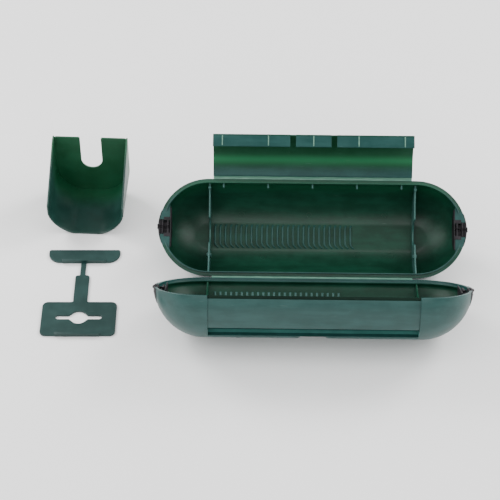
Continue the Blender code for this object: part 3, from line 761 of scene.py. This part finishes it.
# Corner, direction and outward side of the folded lip
def lipBasis():
    corner = flapPoint(shell["radius"] - 0.1, flap["end"])
    way = radians(flap["end"] + 90 + flap["lipFold"])
    return corner, np.array([cos(way), sin(way)]), np.array([-sin(way), cos(way)])


# The lip: a flat strip with a rounded nose and a small thickening at its root
def lipSection():
    corner, way, side = lipBasis()
    thick, length = flap["lipThick"], flap["lipLength"]
    nose = corner + way * (length - thick / 2) + side * thick / 2
    start = degrees(atan2(-side[1], -side[0]))
    cap = arc(nose, thick / 2, start, start + 180, 6)
    root = corner + side * thick
    fillet = [root + way * 2.4, root + side * 1.6 + way * 0.4, root + side * 1.2]
    return np.concatenate([[corner], cap, fillet])


# Three lengths of lip with two gaps between them
def lipParts():
    spans = ((-flap["half"], -flap["gapTo"]), (-flap["gapFrom"], flap["gapFrom"]),
             (flap["gapTo"], flap["half"]))
    section = lipSection()
    return [alongBox(section, low, high, flap["edge"], flapPlace) for low, high in spans]


# Slim ribs across the outer face of the lip
def lipRibs():
    corner, way, side = lipBasis()
    rib = np.array([corner + way * 1.2 + side * 0.3, corner + way * 2.2 - side * 0.8,
                    corner + way * (flap["lipLength"] - 2.2) - side * 0.8,
                    corner + way * (flap["lipLength"] - 0.8) + side * 0.3])
    return [alongBox(rib, at - 0.7, at + 0.7, 0.25, flapPlace) for at in flap["ribAt"]]


flapPiece = toObject("flapPanel", [flapPanel()] + lipParts())
# The lip ribs take the pale web finish: painted highlight
finishPiece(toObject("lipRibs", lipRibs()), finish["web"], "flap", "moulded_plastic")


# Where a point is on the panel's inner face: 0 at the hinge, 1 at the fold, -1 elsewhere
def flapShare(points):
    angle = radians(place["lean"] - place["flapOpen"])
    y, z = points[:, 1] - place["flapAxis"][1], points[:, 2] - place["flapAxis"][2]
    along, up = y * cos(angle) + z * sin(angle), z * cos(angle) - y * sin(angle)
    along, up = along + place["flapAxisOut"], up - place["flapAxisDrop"]
    radius, share = np.hypot(along, up), np.degrees(np.arctan2(up, along)) / flap["end"]
    face = (radius < shell["radius"] - 1.2) & (radius > shell["radius"] - 2.2) & (share < 1)
    return np.where(face, share, -1.0)


# A band of light through the sheet: a bell curve of the share
def flapGlow(points):
    return np.exp(-((flapShare(points) - flap["glowAt"]) / flap["glowWide"])**2) * flap["glowMost"]


# Painted shadow: the inner face darkens towards the fold, where the lip shades it
paint(flapPiece, "inner", lambda points: smooth((flapShare(points) - 0.08) / 0.24))
paint(flapPiece, "thin", flapGlow)
finishPiece(flapPiece, finish["flap"], "flap", "moulded_plastic", "closing_flap")


web = {"half": 122.5, "thick": 0.7, "reach": 1.55, "drop": 0.25, "bend": 1.1,
       "flapHalf": 122.3, "flapThick": 0.8, "flapBend": (0.8, 2.2)}


# Outline of a thin strip: a path in (across, up) moved by half its thickness to both sides
def webStrip(path, thickness):
    path = np.asarray(path, float)
    way = np.gradient(path, axis=0)
    way /= np.hypot(way[:, 0], way[:, 1])[:, None]
    side = np.stack([-way[:, 1], way[:, 0]], 1) * thickness / 2
    return np.concatenate([path + side, (path - side)[::-1]])


# A smooth path through a few points: the polynomial of the lowest degree that meets them all
def curve(points, count):
    points = np.asarray(points, float)
    knots = np.linspace(0, 1, len(points))
    at = np.linspace(0, 1, count)
    return np.stack([np.polyval(np.polyfit(knots, points[:, k], len(points) - 1), at) for k in (0, 1)], 1)


lean = radians(place["lean"])
out, lift = web["reach"] * cos(lean), web["reach"] * sin(lean) - web["drop"]
section = webStrip(curve([(-out, lift), (0, -web["drop"]), (out, lift)], 9), web["thick"])
mainWeb = toObject("mainHingeWeb", [alongBox(section, -web["half"], web["half"], 0.2,
                                             lambda x, a, b: tilted(x, a, b, place["hinge"], 0.0))])
finishPiece(mainWeb, finish["web"], None, "hinge_web", "main_hinge_web")
axis, bend = place["hinge"] * mm, np.array([0, web["bend"], 0]) * mm
tuple(axis + bend)
tuple(axis - bend)
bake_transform(mainWeb)

rootBack = flapPoint(shell["radius"] - 0.5, flap["start"])
c, s = cos(radians(-place["flapOpen"])), sin(radians(-place["flapOpen"]))
rootOpen = (rootBack[0] * c - rootBack[1] * s, rootBack[0] * s + rootBack[1] * c)
flapPath = curve([(-1.4, -0.1), (0.2, 0.05), (rootOpen[0] + 0.2, rootOpen[1] + 0.2)], 9)
section = webStrip(flapPath, web["flapThick"])
flapWeb = toObject("flapHingeWeb", [
    alongBox(section, -web["flapHalf"], web["flapHalf"], 0.2,
             lambda x, a, b: tilted(x, a, b, place["flapAxis"], place["lean"]))])
finishPiece(flapWeb, finish["web"], None, "hinge_web", "flap_hinge_web")
axis, toward = place["flapAxis"] * mm, np.array([0, cos(lean), sin(lean)]) * mm
before, after = web["flapBend"]
tuple(axis - toward * before)
tuple(axis + toward * after)
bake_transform(flapWeb)
print("flap and webs made")

seal = {"radius": 8.85, "top": -0.15, "coreRadius": 8.7, "coreTop": -4.6, "from": 173.4,
        "finAt": (176.3, 183.0), "finThick": 2.3, "collarHalf": 12.2,
        "flangeRadius": 20.5, "flangeOut": 1.05, "innerRadius": 25.0, "innerThick": 1.5, "nub": 1.5}


# A half disc below the rim plane, with a small half-round seat for the lead in its flat edge
def halfDisc(radius, top, steps, lead=0.0):
    rim = arc((0, top), radius, 180, 360, steps)
    if lead:
        seat = arc((0, top), lead, 360, 180, 8)
        return np.concatenate([rim, seat])
    return rim


# A thin half-round skirt on the dome: rings of growing radius, over and back under
def domeFlange(mapping, side):
    depth = np.linspace(0, 1, 9)
    edge = np.radians(np.linspace(0, 180, 7))[1:-1]
    half = 0.5
    radius, skin = [], []
    inner, outer, thinning = shell["radius"] + 0.05, shell["radius"] + seal["flangeOut"], 0.6
    for share in depth:
        radius.append(share * (seal["flangeRadius"] - half))
        skin.append(outer - thinning * share**2)
    for a in edge:
        radius.append(seal["flangeRadius"] - half + half * sin(a))
        skin.append((inner + outer - thinning) / 2 + (outer - thinning - inner) / 2 * cos(a))
    for share in depth[::-1]:
        radius.append(share * (seal["flangeRadius"] - half))
        skin.append(inner)
    radius, skin = np.array(radius)[None, :], np.array(skin)[None, :]
    turn = np.radians(np.linspace(180, 360, 37))[:, None]
    t, n = radius * np.cos(turn), seal["top"] + radius * np.sin(turn)
    x = shell["half"] + np.sqrt(np.maximum(skin**2 - t**2 - n**2, 1.0))
    return sweep(mapping(side * x, t, n))


# The block below the fins: a circle segment with a flat top and a small central dip
def coreOutline():
    low = degrees(np.arcsin(-seal["coreTop"] / seal["coreRadius"]))
    rim = arc((0, 0), seal["coreRadius"], 180 + low, 360 - low, 24)
    return np.concatenate([rim, arc((0, seal["coreTop"]), 1.5, 360, 180, 8)])


# Core, lamella fins, both flanges and the nub of one half seal
def sealParts(mapping, side, shelfTop):
    tip = shell["half"] + shell["radius"] + 0.6
    start = seal["from"]

    def block(outline, low, high, edge):
        low, high = sorted((side * low, side * high))
        return plate(outline, low, high, edge, across(mapping))

    parts = [block(coreOutline(), start + 0.4, tip, 0.3)]
    for low in (*seal["finAt"], tip - seal["finThick"] - 0.4):
        parts.append(block(halfDisc(seal["radius"], seal["top"], 24, 1.5), low, low + seal["finThick"], 0.4))
    for way in (-1, 1):
        collar = np.array([[seal["radius"] - 1.0, shelfTop - 0.6], [seal["radius"] - 1.0, shelfTop + 0.3],
                           [seal["collarHalf"], shelfTop + 0.3], [seal["collarHalf"], shelfTop - 0.6]])
        parts.append(block(collar * [way, 1], start + 0.4, shell["half"] + 55.0, 0.2))
    washer = halfDisc(seal["innerRadius"], seal["top"] - 0.1, 36)
    parts.append(block(washer, start, start + seal["innerThick"], 0.5))
    parts.append(block(halfDisc(3.0, seal["top"], 12, 1.2), tip - 0.5, tip + seal["nub"], 0.4))
    parts.append(domeFlange(mapping, side))
    return parts


for label, mapping, body, top, _ in halves:
    for side, word in ((-1, "left"), (1, "right")):
        piece = toObject(f"{label}{word.title()}Seal", sealParts(mapping, side, top))
        finishPiece(piece, finish["rubber"], body, "seal_rubber", f"{label}_{word}_seal")
print("seals made")

insert = {"half": 48.1, "flat": 15.0, "curveTop": 34.0, "height": 89.0, "front": 46.0, "length": 86.0,
          "wall": 2.2, "notchHalf": 13.4, "notchBottom": 39.0, "corner": 5.0,
          "glowFrom": 40, "glowSpan": 40, "glowMost": 0.75, "glowLeast": 0.1,
          "spot": (-284.9, 99.7), "turn": -1.8}


def insertPlace(x, y, z):
    return loosePlace(x, y, z, insert["spot"], insert["turn"])


# Top of the side walls: low in front, rising in a soft line to the end wall
def sideHeight(y):
    share = np.clip(y / (insert["length"] - 6), 0, 1)
    return insert["front"] - 1.5 + (insert["height"] - insert["front"] + 1.5) * share


# Half section from the floor's middle to the top of a side: flat, a squashed quarter round, straight up
def troughSection(shrink, y, count):
    half, rise = insert["half"] - shrink, insert["curveTop"] - shrink
    a = np.linspace(0, pi / 2, 16)
    curveX = insert["flat"] + (half - insert["flat"]) * np.sin(a)**1.2
    curveZ = shrink + rise * (1 - np.cos(a)**1.2)
    up = np.linspace(0, 1, count)[1:]
    x = np.concatenate([np.linspace(0, insert["flat"], 4)[:-1], curveX, np.full(up.size, half)])
    rising = insert["curveTop"] + (sideHeight(y) - insert["curveTop"]) * up
    z = np.concatenate([np.full(3, shrink), curveZ, rising])
    return np.stack([x, z], 1)


# The trough's sheet: outer section, rounded top edges, inner section, at stations along y
def trough():
    loops = []
    wall = insert["wall"]
    ends = np.array([0.0, 0.12, 0.45, 0.9])
    stations = np.concatenate([ends, np.linspace(3, insert["length"] - 3, 24),
                               insert["length"] - 0.2 - ends[::-1]])
    trims = np.concatenate([[0.75, 0.35, 0.1, 0.0], np.zeros(24), [0.0, 0.1, 0.35, 0.75]])
    for y, trim in zip(stations, trims):
        outer, inner = troughSection(trim, y, 8), troughSection(wall - trim, y, 8)
        top = arc((insert["half"] - wall / 2, outer[-1, 1] - 0.2), wall / 2 - trim, 0, 180, 6)[1:-1]
        section = np.concatenate([outer, top, inner[::-1][:-1], (inner * [-1, 1]), (top * [-1, 1])[::-1],
                                  (outer * [-1, 1])[::-1][:-1]])
        loops.append(insertPlace(section[:, 0], np.full(len(section), y), section[:, 1]))
    return sweep(np.array(loops))


# The end wall with its U notch, its top corners rounded
def endWall():
    half, radius = insert["half"] - 0.2, insert["corner"]
    lower = troughSection(0.2, 0.0, 2)[:-1]
    corner = arc((half - radius, insert["height"] - radius), radius, 0, 90, 8)
    mouth = arc((insert["notchHalf"] + 2.0, insert["height"] - 2.0), 2.0, 90, 180, 5)
    notch = arc((0, insert["notchBottom"] + insert["notchHalf"]), insert["notchHalf"], 0, -180, 24)
    right = np.concatenate([lower[1:], corner, mouth])
    outline = np.concatenate([lower[:1], right, notch, (right * [-1, 1])[::-1]])
    return plate(outline, insert["length"] - insert["wall"], insert["length"], 0.7,
                 lambda a, b, depth: insertPlace(a, depth, b))


insertPiece = toObject("plugStopInsert", [trough(), endWall()])


# Painted glow: greener towards the end wall, as light through the thin walls, but not on the wall's far side
def insertGlow(points):
    x, y = (points[:, :2] - place["hinge"][:2] - insert["spot"]).T
    turn = radians(insert["turn"])
    along = y * cos(turn) - x * sin(turn)
    share = insert["glowMost"] * smooth((along - insert["glowFrom"]) / insert["glowSpan"])
    return (share + insert["glowLeast"]) * (along < along.max() - 0.6)


paint(insertPiece, "inner", insertGlow)
finishPiece(insertPiece, finish["loose"], "insert", "accessory_plastic", "plug_stop_insert")
print("insert made")

hanger = {"thick": 2.4, "plateHalf": 45.5, "plateDeep": 56.0, "corner": 7.0, "stemHalf": 8.85,
          "stemEnd": 102.0, "neckHalf": 3.35, "barHalf": 44.75, "barFrom": 125.2, "barDeep": 22.0,
          "holeRadius": 10.3, "holeY": 30.0, "holeFlare": 0.62, "slotHalf": 28.0, "slotWide": 3.0,
          "lipHalf": 27.0, "lipHigh": 3.0, "spot": (-282.1, -78.6), "turn": 0.9}


def hangerPlace(x, y, z):
    return loosePlace(x, y, z, hanger["spot"], hanger["turn"])


# Right side of the plan, then its mirror image: plate, stem, neck and top bar
def hangerOutline():
    h = hanger
    big = h["barDeep"] - 7
    right = np.concatenate([
        arc((h["plateHalf"] - h["corner"], h["corner"]), h["corner"], -90, 0, 8),
        arc((h["plateHalf"] - h["corner"], h["plateDeep"] - h["corner"]), h["corner"], 0, 90, 8),
        arc((h["stemHalf"] + 1.5, h["plateDeep"] + 1.5), 1.5, 270, 180, 4),
        arc((h["stemHalf"] - 3, h["stemEnd"] - 3), 3.0, 0, 90, 5),
        arc((h["neckHalf"] + 1.2, h["stemEnd"] + 1.2), 1.2, 270, 180, 4),
        arc((h["neckHalf"] + 1.5, h["barFrom"] - 1.5), 1.5, 180, 90, 4),
        arc((h["barHalf"] - big, h["barFrom"] + big), big, -90, 0, 10),
        arc((h["barHalf"] - 3, h["barFrom"] + h["barDeep"] - 3), 3.0, 0, 90, 5)])
    return np.concatenate([right, (right * [-1, 1])[::-1]])


# Round hole with a slot to each side, as one outline
def keyhole():
    radius, wide, reach, y = hanger["holeRadius"], hanger["slotWide"], hanger["slotHalf"], hanger["holeY"]
    flare = degrees(np.arcsin(hanger["holeFlare"]))  # where the hole opens out to the slot's corners
    corner = radius * cos(radians(flare)) + 3.4
    rightEnd = arc((reach - wide, y), wide, -90, 90, 10)
    return np.concatenate([rightEnd, [(corner, y + wide)], arc((0, y), radius, flare, 180 - flare, 20),
                           [(-corner, y + wide)], (rightEnd * [-1, 1])[::-1], [(-corner, y - wide)],
                           arc((0, y), radius, 180 + flare, 360 - flare, 20), [(corner, y - wide)]])


# The flat bracket and the two small lips that stand along its near edges
def hangerParts():
    parts = [plate(hangerOutline(), 0.0, hanger["thick"], 0.65, hangerPlace, [keyhole()])]
    top = hanger["thick"] + hanger["lipHigh"]
    for near in (-0.5, hanger["barFrom"] - 0.5):
        lip = np.array([[near, 0.4], [near, top], [near + 3.0, top], [near + 5.0, 1.0]])
        parts.append(plate(lip, -hanger["lipHalf"], hanger["lipHalf"], 0.5, across(hangerPlace)))
    return parts


hangerPiece = toObject("hangerBracket", hangerParts())
finishPiece(hangerPiece, finish["loose"], "hanger", "accessory_plastic", "hanger_bracket")
print("hanger made")

studio = {
    "floor": ((0.90, 0.90, 0.90, 1.0), (0.95, 0.95, 0.95, 1.0)), "floorHalf": 4000.0, "floorDrop": 0.1,
    "sky": 0.58,
    "lamps": (  # name, place, target, size in metres, watts
        ("leftLight", (-1.7, -0.2, 1.3), (0, 0, 0.05), (1.8, 1.4), 24.0),
        ("rightLight", (1.8, -0.2, 1.3), (0, 0, 0.05), (1.8, 1.4), 24.0),
        ("backLeftLight", (-1.9, 1.5, 1.6), (0, 0, 0.05), (1.1, 1.1), 62.0),
        ("backRightLight", (1.9, 1.5, 1.6), (0, 0, 0.05), (1.1, 1.1), 62.0),
        ("topLight", (0.0, 0.05, 2.3), (0, 0, 0.05), (1.9, 0.8), 12.0),
        ("frontLight", (-0.3, -2.2, 1.5), (0, -0.1, 0.05), (2.8, 1.3), 28.0),
    ),
}


def paleFloor():
    shop = Shop("paleFloor")
    where = shop.add("ShaderNodeTexCoord", {}, {}, 3)
    tint = noise(shop, where, 3.0)
    shop.set({"Base Color": mixColour(shop, tint, *studio["floor"]), "Roughness": 0.7})
    return shop.material


corners = np.array([[-1, -1], [1, -1], [1, 1], [-1, 1]]) * studio["floorHalf"]
corners = np.column_stack([corners, np.full(4, -studio["floorDrop"])])
floor = toObject("floor", [(corners, [(0, 1, 2, 3)])])
floor.data.materials.append(paleFloor())


def areaLight(name, where, target, size, power):
    data = bpy.data.lights.new(name, "AREA")
    data.shape, data.size, data.size_y, data.energy = "RECTANGLE", size[0], size[1], power
    lamp = bpy.data.objects.new(name, data)
    bpy.context.scene.collection.objects.link(lamp)
    lamp.location = where
    lamp.rotation_euler = (Vector(target) - Vector(where)).to_track_quat("-Z", "Y").to_euler()


for lampValues in studio["lamps"]:
    areaLight(*lampValues)
world = bpy.data.worlds.new("studio")
bpy.context.scene.world = world
world.use_nodes = True
world.node_tree.nodes["Background"].inputs["Color"].default_value = (1, 1, 1, 1)
world.node_tree.nodes["Background"].inputs["Strength"].default_value = studio["sky"]

view = {"fov": 16.26, "elevation": 44.12, "azimuth": 0.95, "distance": 2.147,
        "sideways": 0.1247, "upward": 0.0438}  # degrees, metres, and shares of the view's width


# Looks past the middle of the rear rim, by a share of the view's width to the side and up
def placeCamera():
    data = bpy.data.cameras.new("camera")
    data.sensor_width, data.sensor_fit = 36.0, "HORIZONTAL"
    data.angle = radians(view["fov"])
    camera = bpy.data.objects.new("camera", data)
    bpy.context.scene.collection.objects.link(camera)
    lift, turn = radians(view["elevation"]), radians(view["azimuth"])
    back = Vector((cos(lift) * sin(turn), -cos(lift) * cos(turn), sin(lift)))
    camera.rotation_euler = back.to_track_quat("Z", "Y").to_euler()
    right, up = Vector((cos(turn), sin(turn), 0)), back.cross(Vector((cos(turn), sin(turn), 0)))
    rimMiddle = Vector((rearPlace(0.0, 0.0, 0.0) * mm).tolist())
    focal = 0.5 / tan(radians(view["fov"]) / 2)
    aside = right * view["sideways"] + up * view["upward"]
    camera.location = rimMiddle + (back - aside / focal) * view["distance"]
    data.clip_start, data.clip_end = 0.05, 30
    bpy.context.scene.camera = camera


placeCamera()
print("stage set")
